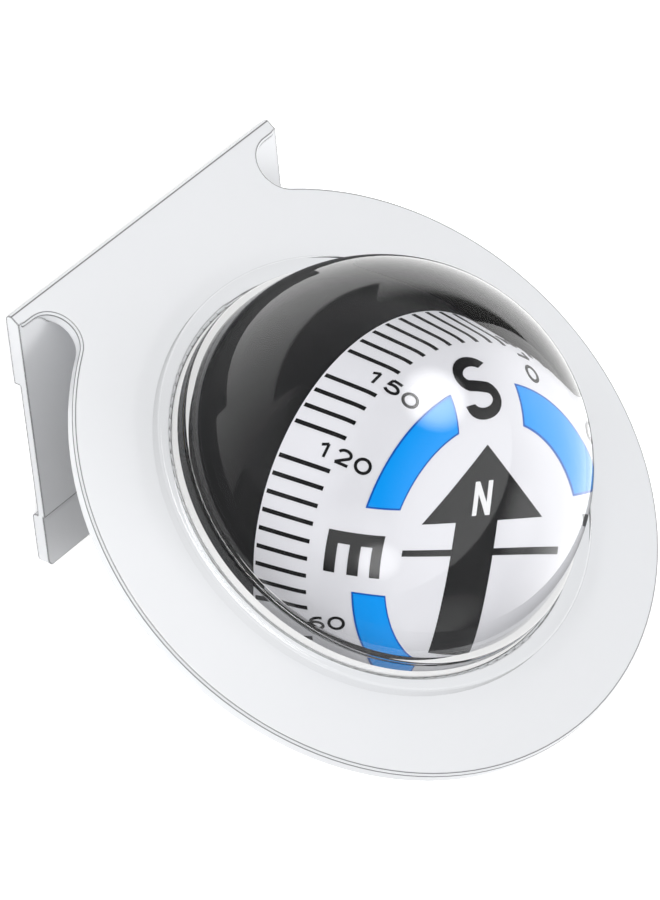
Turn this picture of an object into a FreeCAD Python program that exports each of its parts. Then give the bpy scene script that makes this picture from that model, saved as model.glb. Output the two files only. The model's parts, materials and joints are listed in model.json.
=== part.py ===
"""Car dashboard compass: a liquid-filled ball compass in a folded plastic bracket.

The disc of the bracket leans back over a flat leg that is stuck to the dashboard. A sealed
capsule sits in the disc: a clear dome in front, a black bowl behind. Inside it a weighted
float with a printed card turns and tilts on a ball-tipped pivot.

Millimetres. +X is to the driver's right, +Z is up, and the disc faces -Y and up.
The origin is on the dashboard, under the middle of the object's bounding box.
"""
import FreeCAD, Part
import math
import os

from FreeCAD import Vector

# Bracket: disc, tab and leg, one moulding
plate_radius = 30.0
plate_thickness = 1.5
plate_lean = 51.5
tab_half_width = 18.8
ear_length = 1.85
ear_height = 2.24
ear_corner = 0.75
notch_radius = 2.7
leg_length = 29.1
fold_strip = 8.2
end_strip = 6.0
recess_depth = 0.7
end_step = 0.2
edge_round = 0.35
fold_round = 0.5
leg_corner = 1.0

# Adhesive pad in the recess under the leg
pad_proud = 0.2
pad_side_inset = 1.2
pad_end_gap = 0.4
pad_corner = 1.5

# Capsule: clear dome in front, deep black bowl behind, one cavity with round ends
cavity_radius = 18.4
dome_wall = 1.2
bowl_wall = 1.2
dome_rise = 1.65
pivot_depth = 6.66
dome_collar_step = 0.7
dome_collar_height = 2.7
flange_height = 1.3
flange_overlap = 1.75
dome_round = 0.3
gasket_thickness = 0.3
gasket_inset = 0.4
bowl_collar_step = 0.6
bowl_clearance = 1.5
hole_gap = 0.25

# Ring that is pushed on the bowl behind the disc
ring_width = 2.1
ring_height = 1.6
ring_fit = 0.03
ring_seat = 0.5
ring_round = 0.3
key_notch_count = 4
key_notch_width = 2.4
key_notch_depth = 0.8

# Filler plug and its washer at the back of the bowl
plug_boss_radius = 3.6
plug_boss_height = 0.8
plug_radius = 1.55
plug_fit = 0.05
plug_inner_gap = 0.2
plug_head_radius = 2.8
plug_head_height = 1.3
plug_slot_width = 0.7
plug_slot_depth = 0.6
washer_thickness = 0.5
washer_inset = 0.1

# Pivot: post, needle and ball, upright in the bowl
ball_radius = 0.75
needle_radius = 0.35
needle_fit = 0.02
needle_seat = 2.6
ball_gap = 0.02
post_top_drop = 2.4
post_top_radius = 0.9
post_radius = 1.4
post_fit = 0.02
post_taper = 5.0
post_floor = 0.8
post_boss_radius = 2.6
post_boss_height = 2.9
post_shoulder_radius = 2.2
post_shoulder_height = 0.6

# Float: card above, base below, joined at the rim
card_lean = 3.5
card_rim_gap = 4.0
card_rim_height = 2.15
crown_gap = 6.15
card_wall = 0.8
card_draft = 1.5
crown_radius = 104.0
shoulder_radius = 6.1
base_wall = 0.9
base_gap = 10.4
base_round = 0.8
cone_mouth_lean = 40.0
cone_top_radius = 3.2
cone_top_height = 0.3
hub_wall = 0.85
hub_roof = 0.9
lip_height = 1.0
lip_wall = 0.8
lip_gap = 0.15
lip_root = 1.5

# Jewel and its holder in the hub of the float
jewel_radius = 1.5
jewel_height = 1.9
jewel_fit = 0.05
jewel_rise = 0.4
cup_fit = 0.05
holder_radius = 2.4
holder_height = 3.3
holder_rise = 0.35
holder_fit = 0.05

# Ballast, magnets and balance weight on the floor of the float
ballast_gap = 0.3
ballast_height = 1.2
magnet_length = 11.0
magnet_width = 2.4
magnet_height = 3.0
magnet_gap = 0.3
magnet_round = 0.25
weight_radius = 1.1
weight_height = 1.5
card_north = 63.1

# One overrun serves every cut
overrun = 2.0
quarter_turn = 90.0

# Worked out from the above
notch_offset = tab_half_width - ear_length
notch_centre = math.sqrt((plate_radius + notch_radius) ** 2 - notch_offset ** 2)
ear_edge = -(notch_centre + notch_radius)
dome_radius = cavity_radius + dome_wall
bowl_radius = cavity_radius + bowl_wall
dome_collar_radius = dome_radius + dome_collar_step
bowl_collar_radius = bowl_radius + bowl_collar_step
hole_radius = bowl_collar_radius + hole_gap
flange_radius = max(hole_radius, dome_collar_radius) + flange_overlap
plate_front = pivot_depth - dome_rise
plate_back = plate_front - plate_thickness
bowl_top = plate_front - gasket_thickness
# The leg passes below the ears and below the bowl, so the fold lies where both have their room
fold_below_ears = ear_height - ear_edge
pivot_height = plate_thickness + bowl_clearance + bowl_radius
fold_below_bowl = (
    pivot_height / math.sin(math.radians(plate_lean))
    + plate_front / math.tan(math.radians(plate_lean))
)
fold_distance = max(fold_below_ears, fold_below_bowl)
card_radius = cavity_radius - card_rim_gap
card_top = cavity_radius - crown_gap
card_height = card_top - card_rim_height
base_depth = cavity_radius - base_gap
cone_mouth_radius = base_depth * math.tan(math.radians(cone_mouth_lean))
base_radius = math.hypot(card_radius, card_rim_height)
chamber_floor = base_wall - base_depth
post_boss_top = post_boss_height - cavity_radius
post_foot = post_floor - bowl_radius

UP = Vector(0, 0, 1)
ACROSS = Vector(1, 0, 0)
ALONG = Vector(0, 1, 0)
CENTRE = Vector(0, 0, 0)


def disc(radius, low, high):
    """Round bar on the Z axis between two heights."""
    return Part.makeCylinder(radius, high - low, Vector(0, 0, low))


def tube(inner, outer, low, high):
    """Tube on the Z axis between two heights."""
    return disc(outer, low, high).cut(disc(inner, low - overrun, high + overrun))


def block(low, high):
    """Box between two corners."""
    size = high - low
    return Part.makeBox(size.x, size.y, size.z, low)


def centred_block(length, width, low, high):
    """Box centred on the Z axis between two heights."""
    return block(Vector(-length / 2, -width / 2, low), Vector(length / 2, width / 2, high))


def rounded_wire(corners, place):
    """Closed wire through (a, b, radius) corners, with place() giving each point in space."""
    edges = []
    joints = []
    count = len(corners)
    for index in range(count):
        before = Vector(*corners[index - 1][:2], 0)
        here = Vector(*corners[index][:2], 0)
        after = Vector(*corners[(index + 1) % count][:2], 0)
        radius = corners[index][2]
        if radius == 0:
            joints.append((here, here))
            continue
        back = (before - here).normalize()
        ahead = (after - here).normalize()
        half = back.getAngle(ahead) / 2
        reach = radius / math.tan(half)
        middle = here + (back + ahead).normalize() * (radius / math.sin(half) - radius)
        start = here + back * reach
        end = here + ahead * reach
        edges.append((index, Part.Arc(place(start), place(middle), place(end)).toShape()))
        joints.append((start, end))
    arcs = dict(edges)
    ordered = []
    for index in range(count):
        if index in arcs:
            ordered.append(arcs[index])
        leave = joints[index][1]
        arrive = joints[(index + 1) % count][0]
        ordered.append(Part.LineSegment(place(leave), place(arrive)).toShape())
    return Part.Wire(ordered)


def turned(corners):
    """Solid of revolution about Z, from (radius, height, rounding) corners."""
    wire = rounded_wire(corners, lambda point: Vector(point.x, 0, point.y))
    return Part.Face(wire).revolve(CENTRE, UP, 360)


def upper_half(shape, height, reach):
    """The part of a shape above a height."""
    return shape.common(disc(reach + overrun, height, height + 2 * reach + overrun))


def lower_half(shape, height, reach):
    """The part of a shape below a height."""
    return shape.common(disc(reach + overrun, height - 2 * reach - overrun, height))


def leaned(shape):
    """Turn a piece of the capsule from its own axis to the disc's lean."""
    turned_shape = shape.copy()
    turned_shape.rotate(CENTRE, ACROSS, plate_lean)
    return turned_shape


def floated(shape):
    """Turn a piece of the float to the attitude in which the card lies at rest."""
    turned_shape = shape.copy()
    turned_shape.rotate(CENTRE, ACROSS, card_lean)
    return turned_shape


def northward(shape):
    """Turn a piece that looks along Y to the card's own north."""
    turned_shape = shape.copy()
    turned_shape.rotate(CENTRE, UP, card_north - quarter_turn)
    return turned_shape


# Places of the fold line, seen from the ball centre, in the object's own directions
lean = math.radians(plate_lean)
up_plate = Vector(0, math.cos(lean), math.sin(lean))
out_of_plate = Vector(0, -math.sin(lean), math.cos(lean))
fold_line = up_plate * -fold_distance + out_of_plate * plate_front


def plate_outline():
    """Disc with a tab: ears beside the fold, round notches that flow into the disc."""
    swing = plate_radius / (plate_radius + notch_radius)

    def side(sign):
        corner = Vector(sign * tab_half_width, -fold_distance, 0)
        ear_low = Vector(sign * tab_half_width, ear_edge - ear_corner, 0)
        ear_in = Vector(sign * (tab_half_width - ear_corner), ear_edge, 0)
        bend = ear_corner * (1 - math.sqrt(0.5))
        ear_mid = Vector(sign * (tab_half_width - bend), ear_edge - bend, 0)
        notch_low = Vector(sign * notch_offset, ear_edge, 0)
        notch_in = Vector(sign * (notch_offset - notch_radius), -notch_centre, 0)
        disc_start = Vector(sign * notch_offset * swing, -notch_centre * swing, 0)
        edges = [
            Part.LineSegment(corner, ear_low).toShape(),
            Part.Arc(ear_low, ear_mid, ear_in).toShape(),
            Part.LineSegment(ear_in, notch_low).toShape(),
            Part.Arc(notch_low, notch_in, disc_start).toShape(),
        ]
        return corner, edges, disc_start

    right_corner, right_edges, right_start = side(1)
    left_corner, left_edges, left_start = side(-1)
    rim = Part.Arc(right_start, Vector(0, plate_radius, 0), left_start).toShape()
    fold = Part.LineSegment(left_corner, right_corner).toShape()
    return Part.Wire(Part.sortEdges(right_edges + [rim] + left_edges + [fold])[0])


def bracket():
    """The disc and its leg, folded at the tab, with two foot strips and a pad recess between."""
    outline = plate_outline()
    outline.translate(Vector(0, 0, plate_back))
    plate = Part.Face(outline).extrude(UP * plate_thickness)
    plate = plate.cut(disc(hole_radius, plate_back - overrun, plate_front + overrun))
    rim_edges = []
    for edge in plate.Edges:
        box = edge.BoundBox
        flat = box.ZLength < edge_round
        if flat and box.YMin > -fold_distance + edge_round / 2:
            rim_edges.append(edge)
    plate = leaned(plate.makeFillet(edge_round, rim_edges))

    foot = fold_line.z
    heel = fold_line.y
    toe = heel + leg_length
    corners = [
        (heel, foot, 0),
        (heel + fold_strip, foot, 0),
        (heel + fold_strip, foot + recess_depth, 0),
        (toe - end_strip, foot + recess_depth, 0),
        (toe - end_strip, foot, edge_round),
        (toe, foot, edge_round),
        (toe, foot + plate_thickness - end_step, edge_round),
        (toe - end_strip, foot + plate_thickness - end_step, 0),
        (toe - end_strip, foot + plate_thickness, 0),
        (heel, foot + plate_thickness, 0),
    ]
    wire = rounded_wire(corners, lambda point: Vector(-tab_half_width, point.x, point.y))
    leg = Part.Face(wire).extrude(ACROSS * (2 * tab_half_width))
    plan = rounded_wire([
        (-tab_half_width, heel, 0),
        (tab_half_width, heel, 0),
        (tab_half_width, toe, leg_corner),
        (-tab_half_width, toe, leg_corner),
    ], lambda point: Vector(point.x, point.y, foot))
    leg = leg.common(Part.Face(plan).extrude(UP * plate_thickness))

    above = block(
        Vector(-plate_radius - overrun, heel - overrun, foot),
        Vector(plate_radius + overrun, toe + 2 * plate_radius, foot + 4 * plate_radius),
    )
    slab = Part.makeBox(4 * plate_radius, 4 * plate_radius, 4 * plate_radius)
    slab.translate(Vector(-2 * plate_radius, -2 * plate_radius, plate_front))
    ahead_of_plate = leaned(slab)
    folded = plate.common(above).fuse(leg.cut(ahead_of_plate)).removeSplitter()
    fold_edges = []
    for edge in folded.Edges:
        box = edge.BoundBox
        level = box.YLength < edge_round and box.ZLength < edge_round
        near = abs(box.YMin - heel) < edge_round and abs(box.ZMin - foot) < edge_round
        if level and near and box.XLength > tab_half_width:
            fold_edges.append(edge)
    return folded.makeFillet(fold_round, fold_edges)


def adhesive_pad():
    """Foam tape in the recess of the leg, a little proud of the foot strips."""
    low = fold_line + Vector(0, fold_strip + pad_end_gap, -pad_proud)
    length = leg_length - fold_strip - end_strip - 2 * pad_end_gap
    width = 2 * (tab_half_width - pad_side_inset)
    pad = Part.makeBox(width, length, recess_depth + pad_proud)
    pad.translate(low - Vector(width / 2, 0, 0))
    upright = [edge for edge in pad.Edges if edge.BoundBox.ZLength > recess_depth]
    return pad.makeFillet(pad_corner, upright)


def clear_dome():
    """Half a ball with a stepped foot: a collar, then a flange that lies on the disc."""
    foot = turned([
        (0, plate_front, 0),
        (flange_radius, plate_front, 0),
        (flange_radius, plate_front + flange_height, dome_round),
        (dome_collar_radius, plate_front + flange_height, 0),
        (dome_collar_radius, plate_front + dome_collar_height, dome_round),
        (0, plate_front + dome_collar_height, 0),
    ])
    middle = Vector(0, 0, pivot_depth)
    ball = upper_half(Part.makeSphere(dome_radius, middle), plate_front, dome_radius)
    hollow = upper_half(Part.makeSphere(cavity_radius, middle), pivot_depth, cavity_radius)
    well = disc(cavity_radius, plate_front - overrun, pivot_depth)
    return leaned(foot.fuse(ball).cut(hollow.fuse(well)))


def dome_gasket():
    """Flat gasket between the dome's foot and the bowl's collar."""
    inner = cavity_radius + gasket_inset
    outer = bowl_collar_radius - gasket_inset
    return leaned(tube(inner, outer, bowl_top, plate_front))


def rear_bowl():
    """Deep black bowl with a collar through the disc, a plug boss and the boss of the pivot post."""
    collar_low = plate_back - ring_height - ring_seat
    shell = lower_half(Part.makeSphere(bowl_radius), 0, bowl_radius).fuse(disc(bowl_radius, 0, bowl_top))
    collar = disc(bowl_collar_radius, collar_low, bowl_top)
    plug_boss = disc(plug_boss_radius, -bowl_radius - plug_boss_height, 0)
    hollow = Part.makeSphere(cavity_radius).fuse(disc(cavity_radius, 0, bowl_top + overrun))
    body = shell.fuse(collar).fuse(plug_boss).cut(hollow)
    body = body.cut(disc(plug_radius + plug_fit, -bowl_radius - plug_boss_height - overrun, 0))
    body = leaned(body)
    post_boss = disc(post_boss_radius, -bowl_radius, post_boss_top)
    post_boss = post_boss.common(Part.makeSphere((bowl_radius + cavity_radius) / 2))
    post_hole = disc(post_radius + post_fit, post_foot, post_boss_top + overrun)
    return body.fuse(post_boss).cut(post_hole).removeSplitter()


def retaining_ring():
    """Ring pushed on the bowl's collar from behind, with notches for a key."""
    inner = bowl_collar_radius + ring_fit
    outer = inner + ring_width
    low = plate_back - ring_height
    ring = turned([
        (inner, low, 0),
        (outer, low, ring_round),
        (outer, plate_back, 0),
        (inner, plate_back, 0),
    ])
    notch = centred_block(key_notch_depth * 2, key_notch_width, low - overrun, plate_back + overrun)
    for index in range(key_notch_count):
        cut = notch.copy()
        cut.translate(ACROSS * outer)
        cut.rotate(CENTRE, UP, (index + 0.5) * 360 / key_notch_count)
        ring = ring.cut(cut)
    return leaned(ring)


def plug_seat():
    """Height of the flat face that the plug's washer lies on."""
    return -bowl_radius - plug_boss_height


def filler_plug():
    """Slotted plug that closes the hole through which the bowl is filled."""
    head_top = plug_seat() - washer_thickness
    head_low = head_top - plug_head_height
    head = disc(plug_head_radius, head_low, head_top)
    shank = disc(plug_radius, head_top, -cavity_radius - plug_inner_gap)
    slot = centred_block(
        2 * (plug_head_radius + overrun), plug_slot_width, head_low - overrun, head_low + plug_slot_depth
    )
    return leaned(head.fuse(shank).removeSplitter().cut(slot))


def plug_washer():
    """Soft washer under the plug's head."""
    inner = plug_radius + plug_fit
    outer = plug_head_radius - washer_inset
    return leaned(tube(inner, outer, plug_seat() - washer_thickness, plug_seat()))


def pivot_post():
    """Turned post, pressed in its boss and tapered to the needle."""
    post = turned([
        (0, post_foot, 0),
        (post_radius, post_foot, 0),
        (post_radius, post_boss_top, 0),
        (post_shoulder_radius, post_boss_top, 0),
        (post_shoulder_radius, post_boss_top + post_shoulder_height, 0),
        (post_radius, post_boss_top + post_shoulder_height, 0),
        (post_radius, -post_top_drop - post_taper, 0),
        (post_top_radius, -post_top_drop, 0),
        (0, -post_top_drop, 0),
    ])
    bore = disc(needle_radius + needle_fit, -post_top_drop - needle_seat, -post_top_drop + overrun)
    return post.cut(bore)


def pivot_needle():
    """Steel needle that carries the ball."""
    return disc(needle_radius, -post_top_drop - needle_seat, -ball_radius - ball_gap)


def pivot_ball():
    """Steel ball on the needle: the point about which the float turns and tilts."""
    return Part.makeSphere(ball_radius)


def jewel():
    """Jewel with a round cup that rides on the ball."""
    body = disc(jewel_radius, jewel_rise, jewel_rise + jewel_height)
    return floated(body.cut(Part.makeSphere(ball_radius + cup_fit)))


def jewel_holder():
    """Brass holder of the jewel, pushed in the float's hub from below."""
    body = disc(holder_radius, holder_rise, holder_rise + holder_height)
    seat = disc(jewel_radius + jewel_fit, holder_rise - overrun, jewel_rise + jewel_height + jewel_fit)
    return floated(body.cut(seat))


def card_solid(inset):
    """Bell of the card, drawn in all over by an inset: drafted skirt, round shoulder, shallow crown."""
    top = card_top - inset
    slope = math.tan(math.radians(card_draft))
    low_radius = card_radius - inset
    high_radius = low_radius - slope * card_height
    skirt = Part.makeCone(low_radius, high_radius, card_height, Vector(0, 0, card_rim_height))
    crown = Part.makeSphere(crown_radius - inset, Vector(0, 0, card_top - crown_radius))
    bell = skirt.common(crown)
    shoulder = []
    for edge in bell.Edges:
        box = edge.BoundBox
        if box.ZLength < overrun / 2 and card_rim_height < box.ZMin < top and box.XLength > low_radius:
            shoulder.append(edge)
    return bell.makeFillet(shoulder_radius - inset, shoulder)


def compass_card():
    """White card, the upper half of the float, which carries the printed scale."""
    hollow = card_solid(card_wall)
    well = disc(card_radius - card_wall, card_rim_height - overrun, card_rim_height)
    return floated(card_solid(0).cut(hollow.fuse(well)))


def cone(radius_low, radius_high):
    """Cone of the float's underside, from its mouth to the hub."""
    height = base_depth + cone_top_height
    return Part.makeCone(radius_low, radius_high, height, Vector(0, 0, -base_depth))


def cone_wall_width():
    """Width of the cone's wall, measured level."""
    spread = cone_mouth_radius - cone_top_radius
    height = base_depth + cone_top_height
    return base_wall * math.hypot(spread, height) / height


def float_base():
    """Black lower half of the float: a round pan with a cone up the middle that clears the post."""
    outer = lower_half(Part.makeSphere(base_radius), card_rim_height, base_radius)
    outer = upper_half(outer, -base_depth, base_radius)
    inner = lower_half(Part.makeSphere(base_radius - base_wall), card_rim_height, base_radius)
    inner = upper_half(inner, chamber_floor, base_radius)
    pan = outer.cut(inner)
    width = cone_wall_width()
    hub_radius = holder_radius + holder_fit + hub_wall
    hub_top = holder_rise + holder_height + hub_roof
    cone_body = cone(cone_mouth_radius + width, cone_top_radius + width)
    hub = disc(hub_radius, cone_top_height - hub_wall, hub_top)
    lip_outer = card_radius - card_wall - lip_gap
    lip = turned([
        (lip_outer - lip_wall, card_rim_height - lip_root, 0),
        (base_radius - base_wall / 2, card_rim_height - lip_root, 0),
        (base_radius - base_wall / 2, card_rim_height - lip_root / 2, 0),
        (lip_outer, card_rim_height - lip_root / 2, 0),
        (lip_outer, card_rim_height + lip_height, 0),
        (lip_outer - lip_wall, card_rim_height + lip_height, 0),
    ])
    body = pan.fuse(cone_body).fuse(hub).fuse(lip)
    body = body.cut(cone(cone_mouth_radius, cone_top_radius))
    body = body.cut(disc(holder_radius + holder_fit, cone_top_height - overrun, hub_top - hub_roof))
    body = body.removeSplitter()
    bottom_edges = []
    for edge in body.Edges:
        box = edge.BoundBox
        low = abs(box.ZMin + base_depth) < base_wall / 2 and box.ZLength < base_wall / 2
        if low and box.XLength > 2 * cone_mouth_radius + base_wall:
            bottom_edges.append(edge)
    return floated(body.makeFillet(base_round, bottom_edges))


def chamber_radius(height):
    """Inner radius of the float's pan at a height."""
    return math.sqrt((base_radius - base_wall) ** 2 - height ** 2)


def ballast_inner():
    """Inner radius of the ballast ring, clear of the cone's wall."""
    spread = cone_mouth_radius - cone_top_radius
    slope = spread / (base_depth + cone_top_height)
    return cone_mouth_radius - slope * base_wall + cone_wall_width() + ballast_gap


def ballast_outer():
    """Outer radius of the ballast ring, clear of the pan's wall."""
    return chamber_radius(chamber_floor) - ballast_gap


def ballast_ring():
    """Brass ring on the float's floor, which keeps the card level."""
    return floated(tube(ballast_inner(), ballast_outer(), chamber_floor, chamber_floor + ballast_height))


def bar_magnet(side):
    """Bar magnet along the card's north-south line, on the ballast ring."""
    low = chamber_floor + ballast_height
    bar = centred_block(magnet_width, magnet_length, low, low + magnet_height)
    bar = bar.makeFillet(magnet_round, bar.Edges)
    outer_face = math.sqrt(chamber_radius(low) ** 2 - (magnet_length / 2) ** 2) - magnet_gap
    bar.translate(ACROSS * (side * (outer_face - magnet_width / 2)))
    return floated(northward(bar))


def balance_weight():
    """Small weight on the south side of the ballast ring, which trims the card."""
    low = chamber_floor + ballast_height
    weight = disc(weight_radius, low, low + weight_height)
    weight.translate(ALONG * -(ballast_inner() + ballast_outer()) / 2)
    return floated(northward(weight))


pieces = {
    "bracket": bracket(),
    "adhesive_pad": adhesive_pad(),
    "clear_dome": clear_dome(),
    "dome_gasket": dome_gasket(),
    "rear_bowl": rear_bowl(),
    "retaining_ring": retaining_ring(),
    "filler_plug": filler_plug(),
    "plug_washer": plug_washer(),
    "pivot_post": pivot_post(),
    "pivot_needle": pivot_needle(),
    "pivot_ball": pivot_ball(),
    "jewel": jewel(),
    "jewel_holder": jewel_holder(),
    "compass_card": compass_card(),
    "float_base": float_base(),
    "ballast_ring": ballast_ring(),
    "bar_magnet_east": bar_magnet(1),
    "bar_magnet_west": bar_magnet(-1),
    "balance_weight": balance_weight(),
}

# Move the object so that it stands on z = 0 with its box centred on the origin
whole = Part.makeCompound(list(pieces.values())).optimalBoundingBox(False, False)
ball_centre = Vector(-whole.Center.x, -whole.Center.y, -whole.ZMin)

os.makedirs("parts", exist_ok=True)
for name, shape in pieces.items():
    shape.translate(ball_centre)
    shape.exportStep("parts/" + name + ".step")
    print(name, "solids", len(shape.Solids), "valid", shape.isValid(), "volume", round(shape.Volume, 2))

print("ball centre", [round(value, 4) for value in ball_centre])
print("box", [round(value, 3) for value in (whole.XLength, whole.YLength, whole.ZLength)])
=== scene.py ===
"""Looks of the car dashboard compass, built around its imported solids.

The capsule is filled with a clear liquid, whose surface is built here and bends what is seen
through the dome. The print of the card, letters, numbers, ticks, arcs and arrow, is thin
geometry that lies on the card and turns with it.
"""

import json
import math

import bmesh
import bpy
from mathutils import Matrix, Vector
from mathutils.bvhtree import BVHTree


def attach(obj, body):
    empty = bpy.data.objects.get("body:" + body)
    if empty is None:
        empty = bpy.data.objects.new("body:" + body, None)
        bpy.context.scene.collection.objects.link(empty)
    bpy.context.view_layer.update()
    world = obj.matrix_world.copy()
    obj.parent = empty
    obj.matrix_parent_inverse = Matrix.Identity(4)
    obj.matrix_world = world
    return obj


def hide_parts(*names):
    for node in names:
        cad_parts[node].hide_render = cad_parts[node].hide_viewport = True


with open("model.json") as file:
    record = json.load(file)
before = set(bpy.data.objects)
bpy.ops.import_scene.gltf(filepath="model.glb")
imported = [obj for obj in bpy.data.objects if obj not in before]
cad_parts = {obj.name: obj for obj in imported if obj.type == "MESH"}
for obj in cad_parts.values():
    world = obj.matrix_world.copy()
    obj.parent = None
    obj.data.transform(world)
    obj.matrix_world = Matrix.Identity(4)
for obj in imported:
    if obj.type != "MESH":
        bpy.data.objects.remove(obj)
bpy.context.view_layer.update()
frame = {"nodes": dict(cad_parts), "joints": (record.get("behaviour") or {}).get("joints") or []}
nodes = frame["nodes"]
MM = 0.001

# Marks of the compass and turns, in degrees
QUARTER = 90
EAST = QUARTER
SOUTH = 2 * QUARTER
WEST = 3 * QUARTER
FULL = 4 * QUARTER

# Sizes of the object that the frame doesn't state
PLATE_LEAN = math.radians(51.5)
CARD_LEAN = math.radians(3.5)
CARD_NORTH = math.radians(63.1)
DISC_AHEAD_OF_PIVOT = 5.01 * MM
DOME_AHEAD_OF_PIVOT = 6.66 * MM
CAVITY_RADIUS = 18.4 * MM
WALL = 1.2 * MM
FLANGE_RADIUS = 22.2 * MM
FLANGE_HEIGHT = 1.3 * MM
COLLAR_RADIUS = 20.3 * MM
COLLAR_HEIGHT = 2.7 * MM
DOME_ROUND = 0.3 * MM
# The dome's foot sinks into its seat by a trace, so that their faces don't coincide
DOME_SINK = 0.01 * MM
GASKET_INNER = 19.05 * MM
GASKET_OUTER = 20.42 * MM
GASKET_THICKNESS = 0.3 * MM

pivot = Vector(frame["joints"][0]["pos_m"])
OUT_OF_DISC = Vector((0, -math.sin(PLATE_LEAN), math.cos(PLATE_LEAN)))
card_axis = Vector((0, -math.sin(CARD_LEAN), math.cos(CARD_LEAN)))
card_side = Vector((1, 0, 0))
card_ahead = card_axis.cross(card_side)
card_north = card_side * math.cos(CARD_NORTH) + card_ahead * math.sin(CARD_NORTH)
card_east = card_north.cross(card_axis)
disc_centre = pivot + OUT_OF_DISC * DISC_AHEAD_OF_PIVOT
dome_centre = pivot + OUT_OF_DISC * DOME_AHEAD_OF_PIVOT

# Camera
PHOTO_WIDTH, PHOTO_HEIGHT = 660, 900
SENSOR_MM = 36
FOCAL_PIXELS = 5724.4
VIEW_AZIMUTH = math.radians(45.668)
VIEW_ELEVATION = math.radians(31.964)
VIEW_ROLL = math.radians(111.777)
DISC_PIXEL = (372.81, 474.99)
DISC_DISTANCE = 527.43 * MM
NEAREST_SEEN = DISC_DISTANCE / 10
FARTHEST_SEEN = DISC_DISTANCE * 100


def make_camera():
    """Camera of the photograph, placed so that the disc's centre falls on its pixel."""
    back = Vector((
        math.sin(VIEW_AZIMUTH) * math.cos(VIEW_ELEVATION),
        -math.cos(VIEW_AZIMUTH) * math.cos(VIEW_ELEVATION),
        math.sin(VIEW_ELEVATION),
    ))
    level = Vector((math.cos(VIEW_AZIMUTH), math.sin(VIEW_AZIMUTH), 0))
    upright = back.cross(level)
    up = upright * math.cos(VIEW_ROLL) - level * math.sin(VIEW_ROLL)
    right = up.cross(back)
    across = (DISC_PIXEL[0] - PHOTO_WIDTH / 2) / FOCAL_PIXELS
    down = (DISC_PIXEL[1] - PHOTO_HEIGHT / 2) / FOCAL_PIXELS
    place = disc_centre + (back - right * across + up * down) * DISC_DISTANCE
    camera = bpy.data.objects.new("camera", bpy.data.cameras.new("camera"))
    camera.data.sensor_width = SENSOR_MM
    camera.data.lens = FOCAL_PIXELS * SENSOR_MM / max(PHOTO_WIDTH, PHOTO_HEIGHT)
    camera.data.clip_start = NEAREST_SEEN
    camera.data.clip_end = FARTHEST_SEEN
    turn = Matrix((right, up, back)).transposed().to_4x4()
    camera.matrix_world = Matrix.Translation(place) @ turn
    bpy.context.scene.collection.objects.link(camera)
    bpy.context.scene.camera = camera


def node_adder(tree):
    """Function that adds a node to a tree with its settings, input values and links."""
    def add(kind, values=None, links=None, **settings):
        node = tree.nodes.new(kind)
        for key, value in settings.items():
            setattr(node, key, value)
        for key, value in (values or {}).items():
            node.inputs[key].default_value = value
        for key, socket in (links or {}).items():
            tree.links.new(socket, node.inputs[key])
        return node

    return add


def new_material(name):
    """Empty node material, a function that adds its nodes, and one that makes a shader its face."""
    material = bpy.data.materials.new(name)
    material.use_nodes = True
    material.node_tree.nodes.clear()
    add = node_adder(material.node_tree)

    def show(shader):
        add("ShaderNodeOutputMaterial", links={"Surface": shader})

    return material, add, show


def maths(add, operation, first, second=0):
    """Result of an operation on a socket and a second socket or number."""
    if isinstance(second, (int, float)):
        return add("ShaderNodeMath", {1: second}, {0: first}, operation=operation).outputs[0]
    return add("ShaderNodeMath", links={0: first, 1: second}, operation=operation).outputs[0]


def facing(add, normal, direction):
    """Socket that says how far a normal or ray agrees with a fixed direction."""
    product = add("ShaderNodeVectorMath", {1: direction}, {0: normal}, operation="DOT_PRODUCT")
    return product.outputs["Value"]


def mapped(add, value, start, end, low=0, high=1, **settings):
    """Socket that goes from low to high as a value goes from start to end."""
    return add("ShaderNodeMapRange", {
        "From Min": start, "From Max": end, "To Min": low, "To Max": high,
    }, {"Value": value}, **settings).outputs["Result"]


def mirrored_mask(add):
    """Socket that is 1 for rays mirrored by a surface, and 0 for those that passed through one."""
    path = add("ShaderNodeLightPath").outputs
    return maths(add, "GREATER_THAN", path["Is Glossy Ray"], path["Is Transmission Ray"])


def inside_mask(add, place, centre, radius):
    """Socket that is 1 at surface points nearer to a centre than a radius, else 0."""
    offset = add("ShaderNodeVectorMath", {1: centre}, {0: place}, operation="SUBTRACT")
    length = add("ShaderNodeVectorMath", links={0: offset.outputs["Vector"]}, operation="LENGTH")
    return maths(add, "LESS_THAN", length.outputs["Value"], radius)


# Fine grain of solid surfaces
GRAIN_SCALE = 2500
TURNED_GRAIN_SCALE = 1800
GRAIN_DETAIL = 6
GRAIN_HEIGHT = 0.02 * MM
MOULDED_GRAIN = 0.05
METAL_GRAIN = 0.1
FOAM_GRAIN = 0.4

# Clouds in which the tone of a surface drifts and its roughness strays
CLOUD_SCALE = 60
CLOUD_DETAIL = 4
ROUGHNESS_SPREAD = 0.02

# Fresnel index of a plastic that lies in the liquid, and of one in the air
WET_INDEX = 1.12
DRY_INDEX = 1.46

# Share of the bracket's colour that mirrors see; the rest is painted shade in its reflections
BRACKET_MIRROR_SHARE = 0.12

# Painted shade: thin dark lines along the bracket's edges, where its faces turn
EDGE_SHADE_COLOUR = (0.12, 0.12, 0.125)
EDGE_SHADE_STRENGTH = 0.95
SHARP_EDGE_SHADE_WIDTH = 0.28 * MM
SHARP_EDGE_SHADE_SAMPLES = 6
# Agreement of the faces' normals where a sharp edge's line of painted shade begins and where it is full
SHARP_EDGE_SHADE_TURNS = (0.998, 0.93)
# How far a rounded edge faces out of the disc at the middle of each line of painted shade, and half its
# width
ROUND_EDGE_SHADES = ((0.94, 0.055), (0.3, 0.2))

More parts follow.
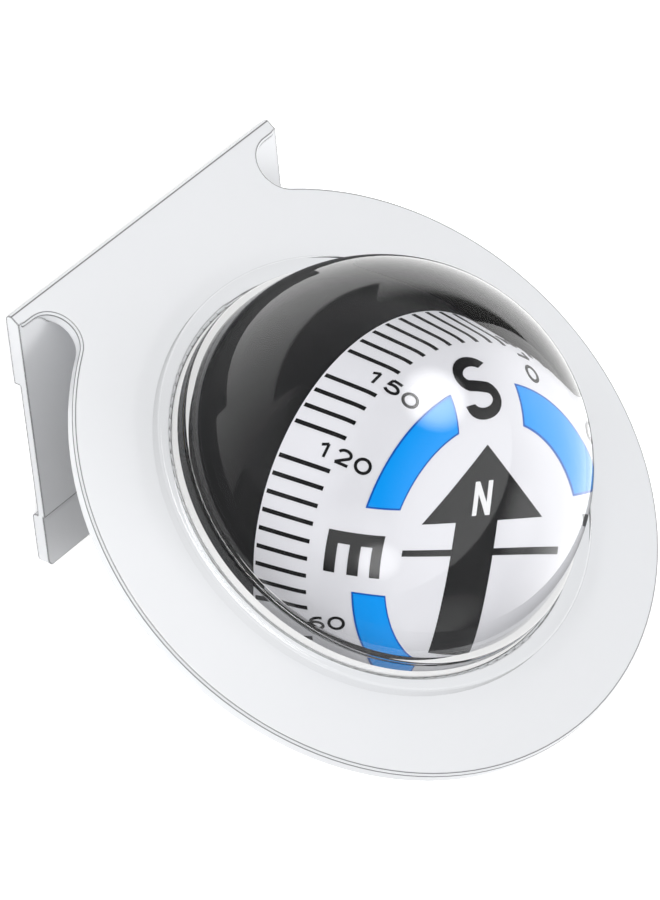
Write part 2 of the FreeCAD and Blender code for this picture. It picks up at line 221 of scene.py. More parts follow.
# Materials of solid surfaces: the two tones that the colour drifts between, and the roughness
TONES = {
    "silver_plastic": ((0.8, 0.81, 0.83), (0.785, 0.795, 0.815), 0.3),
    "foam_tape": ((0.85, 0.85, 0.82), (0.7, 0.7, 0.66), 0.85),
    "seal_silicone": ((0.85, 0.85, 0.85), (0.8, 0.8, 0.8), 0.5),
    "black_plastic": ((0.012, 0.012, 0.013), (0.018, 0.018, 0.019), 0.3),
    "ring_plastic": ((0.022, 0.022, 0.023), (0.03, 0.03, 0.03), 0.5),
    "plug_plastic": ((0.025, 0.025, 0.026), (0.035, 0.035, 0.035), 0.45),
    "washer_rubber": ((0.015, 0.015, 0.015), (0.03, 0.03, 0.03), 0.7),
    "card_plastic": ((0.77, 0.77, 0.81), (0.75, 0.75, 0.79), 0.42),
    "float_plastic": ((0.012, 0.012, 0.013), (0.02, 0.02, 0.021), 0.35),
    "ruby": ((0.5, 0.02, 0.06), (0.35, 0.01, 0.04), 0.08),
    "turned_brass": ((0.78, 0.57, 0.26), (0.66, 0.47, 0.2), 0.3),
    "ground_steel": ((0.6, 0.6, 0.61), (0.5, 0.5, 0.52), 0.18),
    "sintered_magnet": ((0.2, 0.2, 0.21), (0.13, 0.13, 0.14), 0.5),
    "black_ink": ((0.008, 0.008, 0.009), (0.013, 0.013, 0.014), 0.35),
    "arrow_ink": ((0.014, 0.014, 0.015), (0.022, 0.022, 0.023), 0.35),
    "blue_ink": ((0.002, 0.33, 0.93), (0.002, 0.3, 0.88), 0.35),
    "deep_blue_ink": ((0.004, 0.1, 0.45), (0.006, 0.12, 0.5), 0.35),
    "white_ink": ((0.85, 0.85, 0.86), (0.8, 0.8, 0.82), 0.4),
}


def painted(add, paint, colour, factor):
    """Paint that turns into a colour as a factor rises."""
    mix = add("ShaderNodeMix", {"B": (*colour, 1)}, {"Factor": factor, "A": paint}, data_type="RGBA")
    return mix.outputs["Result"]


def outlined(add, paint):
    """Paint darkened by painted shade in thin lines along sharp edges, and where rounded edges start and
    end.
    """
    flat = add("ShaderNodeNewGeometry").outputs["Normal"]
    soft = add("ShaderNodeBevel", {"Radius": SHARP_EDGE_SHADE_WIDTH}, samples=SHARP_EDGE_SHADE_SAMPLES)
    turn = add("ShaderNodeVectorMath", links={
        0: soft.outputs["Normal"], 1: flat,
    }, operation="DOT_PRODUCT").outputs["Value"]
    near = mapped(add, turn, *SHARP_EDGE_SHADE_TURNS, high=EDGE_SHADE_STRENGTH)
    paint = painted(add, paint, EDGE_SHADE_COLOUR, near)
    outward = facing(add, flat, OUT_OF_DISC)
    for middle, half_width in ROUND_EDGE_SHADES:
        off = maths(add, "ABSOLUTE", maths(add, "SUBTRACT", outward, middle))
        near = mapped(add, off, half_width, half_width / 2, high=EDGE_SHADE_STRENGTH)
        paint = painted(add, paint, EDGE_SHADE_COLOUR, near)
    return paint


def surface(name, scale=GRAIN_SCALE, grain=MOULDED_GRAIN, wet=None, outline=False,
            mirror_share=1, **sockets):
    """Solid surface: a colour that drifts between two tones, uneven gloss and a fine grain.

    Where wet names a centre and a radius, surface points inside it touch liquid and hardly
    mirror. Mirrors see only the mirror share of its colour, the rest being painted shade in its
    reflections. Outline adds painted shade in thin dark lines along its edges. Scale and grain
    are the scale and the strength of the fine grain.
    """
    colour, shade, roughness = TONES[name]
    material, add, show = new_material(name)
    place = add("ShaderNodeTexCoord").outputs["Object"]
    cloud = add("ShaderNodeTexNoise", {
        "Scale": CLOUD_SCALE, "Detail": CLOUD_DETAIL,
    }, {"Vector": place}).outputs["Fac"]
    paint = add("ShaderNodeMix", {
        "A": (*colour, 1), "B": (*shade, 1),
    }, {"Factor": cloud}, data_type="RGBA").outputs["Result"]
    # Painted shade in thin dark lines along the edges
    if outline:
        paint = outlined(add, paint)
    # Painted shade in reflections: mirrors see the colour darkened towards black
    if mirror_share < 1:
        painted_mirror_shade = maths(add, "MULTIPLY", mirrored_mask(add), 1 - mirror_share)
        paint = painted(add, paint, (0, 0, 0), painted_mirror_shade)
    gloss = mapped(add, cloud, 0, 1, roughness - ROUGHNESS_SPREAD, roughness + ROUGHNESS_SPREAD)
    fine = add("ShaderNodeTexNoise", {"Scale": scale, "Detail": GRAIN_DETAIL}, {"Vector": place})
    relief = add("ShaderNodeBump", {
        "Strength": grain, "Distance": GRAIN_HEIGHT,
    }, {"Height": fine.outputs["Fac"]})
    links = {"Base Color": paint, "Roughness": gloss, "Normal": relief.outputs["Normal"]}
    if wet:
        links["IOR"] = mapped(add, inside_mask(add, place, *wet), 0, 1, DRY_INDEX, WET_INDEX)
    show(add("ShaderNodeBsdfPrincipled", sockets, links).outputs["BSDF"])
    return material


def wet_surface(name, **settings):
    """Surface that lies in the liquid all over."""
    return surface(name, IOR=WET_INDEX, **settings)


def turned_metal(name):
    """Metal with the fine grain of turning or grinding."""
    return surface(name, scale=TURNED_GRAIN_SCALE, grain=METAL_GRAIN, Metallic=1)


# Clear plastic and liquid
ACRYLIC_TINT = (0.996, 0.997, 0.997)
ACRYLIC_INDEX = 1.49
LIQUID_TINT = (0.995, 0.995, 0.995)
LIQUID_INDEX = 1.33


def clear_material(name, tint, index, wet):
    """Clear body that bends light and lets lamps through to what is behind it.

    Wet names a centre and a radius: its face inside them touches another clear body and
    doesn't mirror.
    """
    material, add, show = new_material(name)
    place = add("ShaderNodeTexCoord").outputs["Object"]
    shader = add("ShaderNodeBsdfPrincipled", {
        "Base Color": (*tint, 1), "Roughness": 0, "IOR": index, "Transmission Weight": 1,
    }, {"Specular Tint": mapped(add, inside_mask(add, place, *wet), 0, 1, 1, 0)})
    through = add("ShaderNodeBsdfTransparent", {"Color": (*tint, 1)})
    path = add("ShaderNodeLightPath").outputs
    lamp = maths(add, "MAXIMUM", path["Is Shadow Ray"], path["Is Diffuse Ray"])
    mix = add("ShaderNodeMixShader", links={
        0: lamp, 1: shader.outputs["BSDF"], 2: through.outputs["BSDF"],
    })
    show(mix.outputs["Shader"])
    return material


def clear_acrylic():
    """Clear plastic of the dome, wet on the inside."""
    wet_dome = (dome_centre, CAVITY_RADIUS + WALL / 2)
    return clear_material("clear_acrylic", ACRYLIC_TINT, ACRYLIC_INDEX, wet_dome)


def dress_nodes():
    """Gives every solid its material."""
    # The top of the bowl's inside is straight and lies farther from the pivot than the rest
    wet_bowl = (pivot, CAVITY_RADIUS + WALL * 2 / 3)
    brass = turned_metal("turned_brass")
    steel = turned_metal("ground_steel")
    magnet = surface("sintered_magnet", Metallic=1)
    looks = {
        # The bracket gets painted shade along its edges and in its reflections
        "bracket": surface("silver_plastic", outline=True, mirror_share=BRACKET_MIRROR_SHARE),
        "adhesive_pad": surface("foam_tape", grain=FOAM_GRAIN),
        "clear_dome": clear_acrylic(),
        "dome_gasket": surface("seal_silicone"),
        "rear_bowl": surface("black_plastic", grain=0, wet=wet_bowl),
        "retaining_ring": surface("ring_plastic"),
        "filler_plug": surface("plug_plastic"),
        "plug_washer": surface("washer_rubber"),
        "compass_card": wet_surface("card_plastic"),
        "float_base": wet_surface("float_plastic"),
        "jewel": wet_surface("ruby", grain=0),
        "pivot_post": brass,
        "jewel_holder": brass,
        "ballast_ring": brass,
        "balance_weight": brass,
        "pivot_needle": steel,
        "pivot_ball": steel,
        "bar_magnet_east": magnet,
        "bar_magnet_west": magnet,
    }
    for name, material in looks.items():
        solid = nodes[name]
        solid.data.materials.clear()
        solid.data.materials.append(material)
        for face in solid.data.polygons:
            face.use_smooth = True
        split_edges(solid)


def finished(mesh_data, name, material, body):
    """Turns a bmesh into a scene object with a material that rides on a body."""
    mesh = bpy.data.meshes.new(name)
    mesh_data.to_mesh(mesh)
    mesh_data.free()
    piece = bpy.data.objects.new(name, mesh)
    bpy.context.scene.collection.objects.link(piece)
    mesh.materials.append(material)
    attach(piece, body)
    return piece


# Steps of round shapes: about the axis, over the ball, round a corner, and of print in degrees
TURNS = 240
BALL_STEPS = 60
CORNER_STEPS = 5
BEND_STEP = 15

# Turn between two faces from which on the edge between them is crisp
CRISP_TURN = math.radians(30)

# The liquid wets the dome, so its face lies a little inside the dome's wall
LIQUID_OVERLAP = 0.05 * MM
LIQUID_FINENESS = 7


def split_edges(piece):
    """Keeps a smooth piece crisp at its edges."""
    limit = piece.modifiers.new("edges", "EDGE_SPLIT")
    limit.split_angle = CRISP_TURN


def bend(centre, reach, start, end, steps=None):
    """Points on an ellipse between two angles in degrees."""
    steps = steps or math.ceil(abs(end - start) / BEND_STEP)
    points = []
    for step in range(steps + 1):
        angle = math.radians(start + (end - start) * step / steps)
        points.append((centre[0] + reach[0] * math.cos(angle), centre[1] + reach[1] * math.sin(angle)))
    return points


def set_on_disc(bm):
    """Smooths a mesh made about the upright axis and moves it to the disc's axis."""
    for face in bm.faces:
        face.smooth = True
    turn = Matrix.Rotation(PLATE_LEAN, 4, "X")
    bmesh.ops.transform(bm, matrix=Matrix.Translation(pivot) @ turn, verts=bm.verts)


def revolve(outline, closed=False):
    """Surface of revolution about the disc's axis, from (radius, height) points."""
    bm = bmesh.new()
    rings = []
    for radius, height in outline:
        if radius == 0:
            rings.append([bm.verts.new((0, 0, height))] * TURNS)
            continue
        ring = []
        for step in range(TURNS):
            angle = 2 * math.pi * step / TURNS
            ring.append(bm.verts.new((radius * math.cos(angle), radius * math.sin(angle), height)))
        rings.append(ring)
    pairs = list(zip(rings, rings[1:]))
    if closed:
        pairs.append((rings[-1], rings[0]))
    for low, high in pairs:
        for step in range(TURNS):
            # At a pole, two of the corners are the same
            corners = [low[step - 1], low[step], high[step], high[step - 1]]
            bm.faces.new(dict.fromkeys(corners))
    bmesh.ops.recalc_face_normals(bm, faces=bm.faces)
    set_on_disc(bm)
    return bm


def rounded_step(radius, top):
    """Round outer corner of one step of the dome's foot."""
    centre = (radius - DOME_ROUND, top - DOME_ROUND)
    return bend(centre, (DOME_ROUND, DOME_ROUND), 0, QUARTER, CORNER_STEPS)


def make_dome():
    """Clear dome, rounder than the solid's facets: down the inner ball, up the foot, over the ball."""
    low = DISC_AHEAD_OF_PIVOT - DOME_SINK
    flange_top = DISC_AHEAD_OF_PIVOT + FLANGE_HEIGHT
    collar_top = DISC_AHEAD_OF_PIVOT + COLLAR_HEIGHT
    outer = CAVITY_RADIUS + WALL
    centre = (0, DOME_AHEAD_OF_PIVOT)
    outline = [(0, DOME_AHEAD_OF_PIVOT + CAVITY_RADIUS)]
    outline += bend(centre, (CAVITY_RADIUS, CAVITY_RADIUS), QUARTER, 0, BALL_STEPS)[1:]
    outline += [(CAVITY_RADIUS, low), (FLANGE_RADIUS, low)]
    outline += rounded_step(FLANGE_RADIUS, flange_top)
    outline.append((COLLAR_RADIUS, flange_top))
    outline += rounded_step(COLLAR_RADIUS, collar_top)
    start = math.degrees(math.asin((collar_top - DOME_AHEAD_OF_PIVOT) / outer))
    outline += bend(centre, (outer, outer), start, QUARTER, BALL_STEPS)[:-1]
    outline.append((0, DOME_AHEAD_OF_PIVOT + outer))
    piece = finished(revolve(outline), "dome_shell", clear_acrylic(), "case")
    split_edges(piece)
    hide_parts("clear_dome")


def make_gasket():
    """Gasket as it sits when squeezed: spread to the edge of the disc's hole."""
    low = DISC_AHEAD_OF_PIVOT - GASKET_THICKNESS
    outline = [
        (GASKET_INNER, low), (GASKET_OUTER, low),
        (GASKET_OUTER, DISC_AHEAD_OF_PIVOT), (GASKET_INNER, DISC_AHEAD_OF_PIVOT),
    ]
    rubber = surface("seal_silicone")
    piece = finished(revolve(outline, closed=True), "squeezed_gasket", rubber, "case")
    split_edges(piece)
    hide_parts("dome_gasket")


def make_liquid():
    """Clear liquid that fills the capsule: two half balls with a straight stretch between."""
    radius = CAVITY_RADIUS + LIQUID_OVERLAP
    bm = bmesh.new()
    bmesh.ops.create_icosphere(bm, subdivisions=LIQUID_FINENESS, radius=radius)
    for vert in bm.verts:
        if vert.co.z > 0:
            vert.co.z += DOME_AHEAD_OF_PIVOT
    set_on_disc(bm)
    wet_all_over = (pivot, 2 * radius)
    liquid = clear_material("damping_liquid", LIQUID_TINT, LIQUID_INDEX, wet_all_over)
    finished(bm, "damping_liquid", liquid, "case")


# Print of the card, in degrees from north and in lengths along the surface from the crown's middle
PRINT_THICKNESS = 0.04 * MM
TOP_PRINT_THICKNESS = 1.5 * PRINT_THICKNESS
PRINT_SUNK = 0.01 * MM
PRINT_TRACE = 0.001 * MM
PRINT_CELL = 0.4 * MM
# Least cosine of half a corner's turn that a stroke's mitre follows
MITRE_LIMIT = 0.8
# Profile of the card, from its axis to the rim as seen from the pivot
RIM_POLAR = math.radians(81.3)
PROFILE_STEPS = 160

# Scale
TICK_STEP = 6
TICK_WIDTH = 0.36 * MM
TICK_INNER_END = 16.45 * MM
TICK_OUTER_END = 21.25 * MM

# Numbers: how far from the crown's middle the digits stand, from the rim inwards
NUMBER_STEP = 30
DIGIT_PLACES = (17.62 * MM, 15.9 * MM, 14.2 * MM)
DIGIT_HEIGHT = 1.15 * MM
DIGIT_WIDTH = 1.2 * MM
DIGIT_STROKE = 0.25 * MM

# Letters
LETTER_BASE = 15.05 * MM
LETTER_HEIGHT = 4.75 * MM
LETTER_WIDTH = 3.55 * MM
LETTER_SPINE = 1.02 * MM
LETTER_ARM = 0.92 * MM
E_ARMS = 3
E_SHIFT = -0.36 * MM
W_STROKES = 4
W_WIDTH = 4.6 * MM
W_FOOT = 0.78 * MM
S_WIDTH = 3.85 * MM
S_HEIGHT = 5.1 * MM
S_STROKE = 0.88 * MM
S_CUT = 0.2 * MM
S_SHIFT = -0.15 * MM
# Angles at which the bowls of the S start and end
S_UPPER_BOWL = (8, 232)
S_LOWER_BOWL = (52, -150)

# Blue arcs between the letters
ARC_OUTER = 12.7 * MM
ARC_INNER = 9.72 * MM
ARC_HALF_GAP = 3.52 * MM
ARC_EDGE = 0.15 * MM
SOUTH_GAP_SHIFT = 0.32 * MM
ARC_STEPS = 28

# Arrow that points south, its crossbar and its small letter
ARROW_APEX = 8.02 * MM
ARROW_NECK = 2.33 * MM
ARROW_HEAD_HALF_WIDTH = 6.38 * MM
SHAFT_HALF_WIDTH = 2.24 * MM
SHAFT_SHIFT = -0.32 * MM
SHAFT_FOOT = -8.12 * MM
BAR_HALF_LENGTH = 8.12 * MM
BAR_TOP = 0.29 * MM
BAR_BOTTOM = -0.21 * MM
SMALL_N_TOP = 5.33 * MM
SMALL_N_BASE = 2.77 * MM
SMALL_N_WIDTH = 1.9 * MM
SMALL_N_STEM = 0.47 * MM


def between(value, known, wanted):
    """Value of one profile list where another one has a given value."""
    for index in range(1, len(known)):
        if known[index] >= value:
            break
    share = (value - known[index - 1]) / (known[index] - known[index - 1])
    return wanted[index - 1] + (wanted[index] - wanted[index - 1]) * min(share, 1)


class CardSurface:
    """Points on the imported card, found from a mark and a length along the card's surface."""

    def __init__(self):
        mesh = nodes["compass_card"].data
        corners = [vertex.co for vertex in mesh.vertices]
        self.tree = BVHTree.FromPolygons(corners, [face.vertices for face in mesh.polygons])
        self.polars = []
        self.lengths = []
        self.radii = []
        last = None
        for step in range(PROFILE_STEPS + 1):
            polar = RIM_POLAR * step / PROFILE_STEPS
            point = self.cast(0, polar)
            offset = point - pivot
            walked = self.lengths[-1] + (point - last).length if last else 0
            self.polars.append(polar)
            self.lengths.append(walked)
            self.radii.append((offset - card_axis * offset.dot(card_axis)).length)
            last = point

    def cast(self, mark, polar):
        """Outermost point of the card in a direction from the pivot."""
        level = card_north * math.cos(mark) + card_east * math.sin(mark)
        ray = card_axis * math.cos(polar) + level * math.sin(polar)
        return self.tree.ray_cast(pivot + ray * 2 * CAVITY_RADIUS, -ray)[0]

    def point(self, mark, across, length):
        """Point at a length from the crown's middle, a little beside a mark, sunk by a trace."""
        radius = between(length, self.lengths, self.radii)
        turn = mark + math.asin(across / radius)
        point = self.cast(turn, between(length, self.lengths, self.polars))
        return point - (point - pivot).normalized() * PRINT_SUNK

    def plan(self, east, north):
        """Point of the crown above a place in plan."""
        length = between(math.hypot(east, north), self.radii, self.lengths)
        return self.point(math.atan2(east, north), 0, length)


def lerp(start, end, share):
    """Point between two pairs of numbers."""
    return (start[0] + (end[0] - start[0]) * share, start[1] + (end[1] - start[1]) * share)


def distance(start, end):
    """Distance between two flat points."""
    return math.hypot(end[0] - start[0], end[1] - start[1])


def add_rows(bm, place, rows):
    """Quads between rows of flat points, laid on the card by place()."""
    laid = [[bm.verts.new(place(*point)) for point in row] for row in rows]
    for low, high in zip(laid, laid[1:]):
        for index in range(len(low) - 1):
            bm.faces.new((low[index], low[index + 1], high[index + 1], high[index]))


def add_sheet(bm, place, left_low, right_low, right_high, left_high):
    """Four-cornered patch of print, cut fine enough to follow the card."""
    width = max(distance(left_low, right_low), distance(left_high, right_high))
    height = max(distance(left_low, left_high), distance(right_low, right_high))
    columns = math.ceil(width / PRINT_CELL)
    count = math.ceil(height / PRINT_CELL)
    rows = []
    for step in range(count + 1):
        start = lerp(left_low, left_high, step / count)
        end = lerp(right_low, right_high, step / count)
        rows.append([lerp(start, end, column / columns) for column in range(columns + 1)])
    add_rows(bm, place, rows)


def add_bar(bm, place, left, low, right, high):
    """Upright rectangle of print."""
    add_sheet(bm, place, (left, low), (right, low), (right, high), (left, high))


def add_stroke(bm, place, path, width, cut=0):
    """Stroke of one width along a path, mitred at its corners, its ends cut aslant."""
    fine = [path[0]]
    for start, end in zip(path, path[1:]):
        count = max(1, math.ceil(distance(start, end) / PRINT_CELL))
        fine += [lerp(start, end, step / count) for step in range(1, count + 1)]
    closed = distance(fine[0], fine[-1]) < PRINT_TRACE
    rows = []
    for index, point in enumerate(fine):
        before = fine[index - 1] if index else (fine[-2] if closed else None)
        after = fine[index + 1] if index + 1 < len(fine) else (fine[1] if closed else None)
        ways = [Vector(point) - Vector(before)] if before else []
        ways += [Vector(after) - Vector(point)] if after else []
        ways = [way.normalized() for way in ways]
        along = sum(ways, Vector((0, 0))).normalized()
        reach = width / 2 / max(along.dot(ways[0]), MITRE_LIMIT)
        side = Vector((-along.y, along.x)) * reach
        if index in (0, len(fine) - 1):
            side += along * cut
        middle = Vector(point)
        rows.append([tuple(middle - side), tuple(middle), tuple(middle + side)])
    add_rows(bm, place, rows)


def digit_strokes(digit):
    """Centre lines of a digit in a box one wide and one high."""
    strokes = {
        "0": [bend((0.5, 0.5), (0.5, 0.5), 0, FULL)],
        "1": [[(0.1, 0.82), (0.6, 1)], [(0.6, 1), (0.6, 0)]],
        "2": [bend((0.5, 0.69), (0.45, 0.31), 165, -35) + [(0.05, 0)], [(0.05, 0), (1, 0)]],
        "3": [bend((0.5, 0.75), (0.42, 0.25), 150, -90), bend((0.5, 0.26), (0.48, 0.26), 90, -150)],
        "4": [[(0.72, 0), (0.72, 1)], [(0.72, 1), (0, 0.27)], [(0, 0.27), (1, 0.27)]],
        "5": [[(0.88, 1), (0.2, 1)], [(0.2, 1), (0.1, 0.55)] + bend((0.5, 0.32), (0.48, 0.32), 125, -150)],
        "6": [bend((0.5, 0.31), (0.48, 0.31), 0, FULL), bend((0.78, 0.42), (0.75, 0.58), 75, 180)],
    }
    return strokes[digit]


def add_number(bm, card, mark):
    """Number of a mark: read from the rim inwards, its top towards the higher marks."""
    digits = str(mark)
    for digit, middle in zip(digits, DIGIT_PLACES[-len(digits):]):
        def place(x, y):
            length = middle + DIGIT_WIDTH / 2 - x
            return card.point(math.radians(mark), y - DIGIT_HEIGHT / 2, length)

        for stroke in digit_strokes(digit):
            path = [(x * DIGIT_WIDTH, y * DIGIT_HEIGHT) for x, y in stroke]
            add_stroke(bm, place, path, DIGIT_STROKE)


def letter_place(card, mark, width, shift=0):
    """Function that lays flat points of a letter on the card, its top towards the middle."""
    def place(x, y):
        return card.point(math.radians(mark), width / 2 - x + shift, LETTER_BASE - y)
    return place


def add_e(bm, place):
    """Letter E: a spine and its arms."""
    add_bar(bm, place, 0, 0, LETTER_SPINE, LETTER_HEIGHT)
    step = (LETTER_HEIGHT - LETTER_ARM) / (E_ARMS - 1)
    for arm in range(E_ARMS):
        add_bar(bm, place, LETTER_SPINE, arm * step, LETTER_WIDTH, arm * step + LETTER_ARM)


def add_s(bm, place):
    """Letter S: two bowls joined by a slanting middle."""
    reach = ((S_WIDTH - S_STROKE) / 2, (S_HEIGHT - S_STROKE) / 4)
    low = (S_WIDTH / 2, S_STROKE / 2 + reach[1])
    high = (S_WIDTH / 2, S_HEIGHT - S_STROKE / 2 - reach[1])
    path = bend(high, reach, *S_UPPER_BOWL) + bend(low, reach, *S_LOWER_BOWL)
    add_stroke(bm, place, path, S_STROKE, cut=S_CUT)


def add_w(bm, place):
    """Letter W: strokes that slant to and fro."""
    pitch = (W_WIDTH - W_FOOT) / W_STROKES
    for index in range(W_STROKES):
        low, high = index * pitch, (index + 1) * pitch
        if index % 2 == 0:
            low, high = high, low
        top = (high + W_FOOT, LETTER_HEIGHT)
        add_sheet(bm, place, (low, 0), (low + W_FOOT, 0), top, (high, LETTER_HEIGHT))


def add_n(bm, place, width, height, stem):
    """Letter N: two stems and a slanting stroke between their corners."""
    add_bar(bm, place, 0, 0, stem, height)
    add_bar(bm, place, width - stem, 0, width, height)
    drop = 2 * stem
    add_sheet(bm, place, (stem, height - drop), (width - stem, 0), (width - stem, drop), (stem, height))


def add_arc(bm, card, mark, inset):
    """Arc between the letter at a mark and the next, its ends parallel to the letters' lines."""
    inner = ARC_INNER + inset
    outer = ARC_OUTER - inset
    count = math.ceil((outer - inner) / PRINT_CELL)
    rows = []
    for step in range(count + 1):
        length = inner + (outer - inner) * step / count
        radius = between(length, card.lengths, card.radii)
        end = math.asin((ARC_HALF_GAP + inset) / radius)
        shifts = [SOUTH_GAP_SHIFT / radius if side == SOUTH else 0 for side in (mark, mark + QUARTER)]
        start = math.radians(mark) + end + shifts[0]
        sweep = math.radians(mark + QUARTER) - end + shifts[1] - start
        rows.append([(start + sweep * column / ARC_STEPS, length) for column in range(ARC_STEPS + 1)])
    add_rows(bm, lambda turn, length: card.point(turn, 0, length), rows)


def finish_print(bm, name, material, thickness=PRINT_THICKNESS):
    """Closes a print's patches to thin solids that stand a little proud of the card."""
    bmesh.ops.remove_doubles(bm, verts=bm.verts, dist=PRINT_TRACE)
    bm.normal_update()
    for face in bm.faces:
        face.smooth = True
        if face.normal.dot(face.calc_center_median() - pivot) < 0:
            face.normal_flip()
    piece = finished(bm, name, material, "card")
    solid = piece.modifiers.new("thickness", "SOLIDIFY")
    solid.thickness = thickness
    solid.offset = 1
    split_edges(piece)


def print_scale(card, ink):
    """Ticks and numbers. A number stands in for its tick, but the four winds keep theirs."""
    bm = bmesh.new()
    line = [(0, TICK_INNER_END), (0, TICK_OUTER_END)]
    for mark in range(0, FULL, TICK_STEP):
        if mark % NUMBER_STEP or mark % QUARTER == 0:
            add_stroke(bm, lambda x, y: card.point(math.radians(mark), x, y), line, TICK_WIDTH)
    finish_print(bm, "print_ticks", ink)

    bm = bmesh.new()
    for mark in range(NUMBER_STEP, FULL, NUMBER_STEP):
        if mark % QUARTER:
            add_number(bm, card, mark)
    finish_print(bm, "print_numbers", ink)


def print_letters(card, ink):
    """Letters of the four winds."""
    bm = bmesh.new()
    add_n(bm, letter_place(card, 0, LETTER_WIDTH), LETTER_WIDTH, LETTER_HEIGHT, LETTER_ARM)
    add_e(bm, letter_place(card, EAST, LETTER_WIDTH, E_SHIFT))
    add_s(bm, letter_place(card, SOUTH, S_WIDTH, S_SHIFT))
    add_w(bm, letter_place(card, WEST, W_WIDTH))
    finish_print(bm, "print_letters", ink)


def print_arcs(card, edge_ink, ink):
    """Four arcs, each with a darker edge that shows round it."""
    for name, inset, colour, thickness in (
        ("print_arc_edges", 0, edge_ink, PRINT_THICKNESS),
        ("print_arcs", ARC_EDGE, ink, TOP_PRINT_THICKNESS),
    ):
        bm = bmesh.new()
        for mark in range(0, FULL, QUARTER):
            add_arc(bm, card, mark, inset)
        finish_print(bm, name, colour, thickness)


def print_arrow(card, ink, letter_ink):
    """Arrow to the south with its crossbar, and the small letter on its head."""
    def southward(x, y):
        return card.plan(-x, -y)

    bm = bmesh.new()
    tip = (0, ARROW_APEX)
    left, right = (-ARROW_HEAD_HALF_WIDTH, ARROW_NECK), (ARROW_HEAD_HALF_WIDTH, ARROW_NECK)
    add_sheet(bm, southward, left, right, tip, tip)
    shaft = (SHAFT_SHIFT - SHAFT_HALF_WIDTH, SHAFT_SHIFT + SHAFT_HALF_WIDTH)
    add_bar(bm, southward, shaft[0], SHAFT_FOOT, shaft[1], ARROW_NECK)
    for side, edge in zip((-1, 1), shaft):
        ends = sorted((edge, side * BAR_HALF_LENGTH))
        add_bar(bm, southward, ends[0], BAR_BOTTOM, ends[1], BAR_TOP)
    finish_print(bm, "print_arrow", ink)

    def on_head(x, y):
        return card.plan(SMALL_N_WIDTH / 2 - x, -SMALL_N_BASE - y)

    bm = bmesh.new()
    add_n(bm, on_head, SMALL_N_WIDTH, SMALL_N_TOP - SMALL_N_BASE, SMALL_N_STEM)
    finish_print(bm, "print_small_n", letter_ink, TOP_PRINT_THICKNESS)


def make_print():
    """All of the card's print."""
    card = CardSurface()
    black = wet_surface("black_ink", grain=0)
    print_scale(card, black)
    print_letters(card, black)
    print_arcs(card, wet_surface("deep_blue_ink", grain=0), wet_surface("blue_ink", grain=0))
    print_arrow(card, wet_surface("arrow_ink", grain=0), wet_surface("white_ink"))


# Room: light on surfaces, and what mirrors see where nothing glows
LIGHT_LEVEL = 0.52
ROOM_LEVEL = 0.1
# Glows in mirrors: direction, degrees of full light and of none, level, and side that is cut off
ROOM_GLOWS = (
    ((-0.1, 0.1, 1), 20, 68, 1.6, (0.598, -0.78, 0.186)),
    ((-1, 0.25, 0.2), 25, 62, 2.3, None),
    ((0.95, 0.05, 0.42), 5, 26, 1.4, None),
    ((-0.486, 0.331, 0.808), 4, 24, 1.7, None),
    ((0.8, 0.25, 0.56), 1, 14, 4.5, None),
    ((0.18, 0.86, 0.47), 5, 22, 0.6, None),
    ((-0.166, -0.828, 0.535), 0, 20, 10, None),
)
# Half width of a cut, in the ray's agreement with the way across it
GLOW_CUT = 0.02

# Floor, white to the eye, and in mirrors fading along X from one level to another
FLOOR_COLOUR = (0.9, 0.9, 0.9)
FLOOR_LIFT = 0.6
FLOOR_HALF_WIDTH = 60 * DISC_DISTANCE
FLOOR_IN_MIRROR = (1.75, 0.3)
FLOOR_FADE = (-10 * MM, 52 * MM)
# Its dark patches in mirrors: axis, edge, side of the edge that is dark, half width of the change
DARK_PATCHES = (
    (("X", -40 * MM, 1, 1 * MM), ("X", 31 * MM, -1, 3 * MM), ("Y", -44 * MM, -1, 1.5 * MM)),
    (("X", 43 * MM, 1, 1 * MM), ("Y", -20 * MM, 1, 3 * MM)),
    (("X", -120 * MM, 1, 30 * MM), ("Y", 150 * MM, 1, 30 * MM)),
    (("Y", -58 * MM, -1, 20 * MM),),
)

# Square soft lamps: place and width in metres, power in watts
LAMPS = {
    "top": ((-0.3, 0.05, 0.5), 0.3, 1.75),
    "front": ((0.15, -0.35, 0.1), 0.15, 0.1),
    "rear": ((0.09, 0.09, 0.04), 0.05, 0.055),
    "low": ((0.13, -0.11, 0.03), 0.06, 0.09),
    "high": ((-0.15, 0.25, 0.4), 0.2, 0.5),
}


def dark_patches(add, axes):
    """Socket that is 1 on the floor's dark patches, each inside all of its edges, else 0."""
    dark = None
    for edges in DARK_PATCHES:
        patch = None
        for axis, edge, side, fade in edges:
            start, end = edge - side * fade, edge + side * fade
            inside = mapped(add, axes[axis], start, end, interpolation_type="SMOOTHSTEP")
            patch = maths(add, "MULTIPLY", patch, inside) if patch else inside
        dark = maths(add, "MAXIMUM", dark, patch) if dark else patch
    return dark


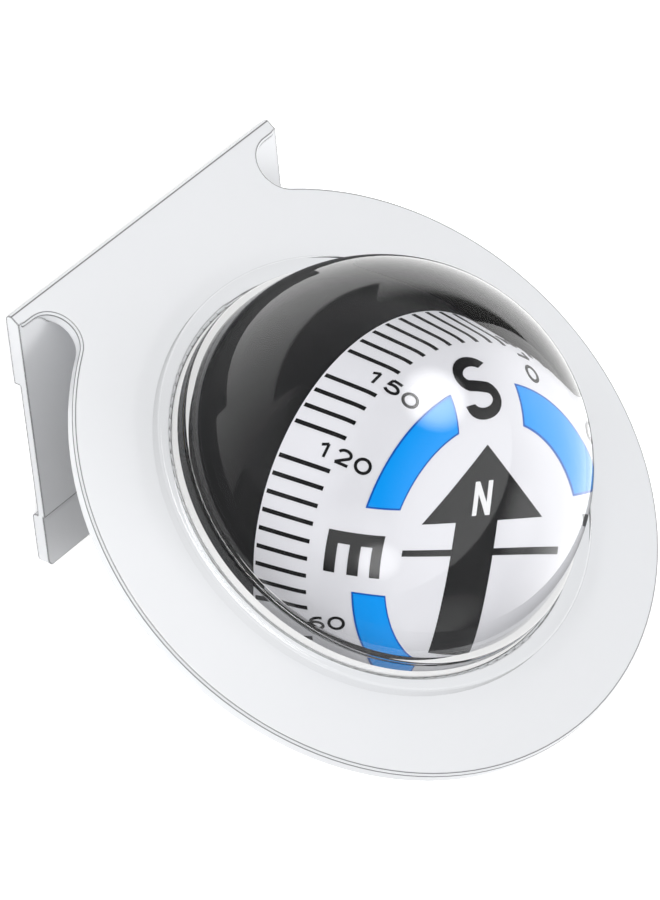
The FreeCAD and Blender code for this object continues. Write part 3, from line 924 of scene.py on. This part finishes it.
def floor_material():
    """Floor that takes shadows and is near white to the eye, with its own levels in mirrors."""
    material, add, show = new_material("floor")
    axes = add("ShaderNodeSeparateXYZ", links={
        "Vector": add("ShaderNodeTexCoord").outputs["Object"],
    }).outputs
    path = add("ShaderNodeLightPath").outputs
    seen = maths(add, "MAXIMUM", path["Is Camera Ray"], path["Is Transmission Ray"])
    lift = maths(add, "MULTIPLY", seen, FLOOR_LIFT)
    slope = mapped(add, axes["X"], *FLOOR_FADE, *FLOOR_IN_MIRROR, interpolation_type="SMOOTHSTEP")
    bright = add("ShaderNodeMapRange", {"To Max": ROOM_LEVEL}, {
        "Value": dark_patches(add, axes), "To Min": slope,
    }).outputs["Result"]
    to_eye = add("ShaderNodeAddShader", links={
        0: add("ShaderNodeBsdfDiffuse", {"Color": (*FLOOR_COLOUR, 1)}).outputs["BSDF"],
        1: add("ShaderNodeEmission", links={"Strength": lift}).outputs["Emission"],
    })
    to_mirrors = add("ShaderNodeEmission", links={"Strength": bright})
    paper = add("ShaderNodeMixShader", links={
        0: mirrored_mask(add), 1: to_eye.outputs["Shader"], 2: to_mirrors.outputs["Emission"],
    })
    show(paper.outputs["Shader"])
    return material


def make_floor():
    """Plain pale floor that keeps the object's shadow."""
    bm = bmesh.new()
    bmesh.ops.create_grid(bm, x_segments=1, y_segments=1, size=FLOOR_HALF_WIDTH)
    mesh = bpy.data.meshes.new("floor")
    bm.to_mesh(mesh)
    bm.free()
    mesh.materials.append(floor_material())
    floor = bpy.data.objects.new("floor", mesh)
    bpy.context.scene.collection.objects.link(floor)


def make_world():
    """White surroundings to the eye, soft grey light on the object, a darker graded room in mirrors."""
    world = bpy.data.worlds.new("studio")
    bpy.context.scene.world = world
    world.use_nodes = True
    world.node_tree.nodes.clear()
    add = node_adder(world.node_tree)

    def glow(direction, start, end, level):
        """Level that rises smoothly as the ray turns towards a direction."""
        toward = facing(add, ray, Vector(direction).normalized())
        return mapped(add, toward, start, end, high=level, interpolation_type="SMOOTHSTEP")

    path = add("ShaderNodeLightPath").outputs
    ray = add("ShaderNodeTexCoord").outputs["Generated"]
    mirror = None
    for direction, inner, outer, level, cut in ROOM_GLOWS:
        light = glow(direction, math.cos(math.radians(outer)), math.cos(math.radians(inner)), level)
        if cut:
            light = maths(add, "MULTIPLY", light, glow(cut, -GLOW_CUT, GLOW_CUT, 1))
        mirror = maths(add, "MAXIMUM", mirror, light) if mirror else light
    mirror = maths(add, "MAXIMUM", mirror, ROOM_LEVEL)
    to_eye = maths(add, "MAXIMUM", path["Is Camera Ray"], path["Is Transmission Ray"])
    to_mirrors = maths(add, "MULTIPLY", mirrored_mask(add), mirror)
    to_surfaces = maths(add, "MULTIPLY", path["Is Diffuse Ray"], LIGHT_LEVEL)
    strength = maths(add, "ADD", maths(add, "MAXIMUM", to_eye, to_mirrors), to_surfaces)
    white = add("ShaderNodeBackground", {"Color": (1, 1, 1, 1)}, {"Strength": strength})
    add("ShaderNodeOutputWorld", links={"Surface": white.outputs["Background"]})


def make_lamps():
    """Lamps that look at the disc's centre and aren't mirrored in the dome."""
    for name, (place, width, power) in LAMPS.items():
        lamp = bpy.data.lights.new(name, "AREA")
        lamp.size = width
        lamp.energy = power
        holder = bpy.data.objects.new(name, lamp)
        holder.location = place
        holder.rotation_mode = "QUATERNION"
        holder.rotation_quaternion = (Vector(place) - disc_centre).to_track_quat("Z", "Y")
        holder.visible_glossy = False
        holder.visible_camera = False
        holder.visible_transmission = False
        bpy.context.scene.collection.objects.link(holder)


make_camera()
dress_nodes()
make_dome()
make_gasket()
make_liquid()
make_print()
make_floor()
make_world()
make_lamps()

bpy.context.scene.view_settings.view_transform = "Standard"
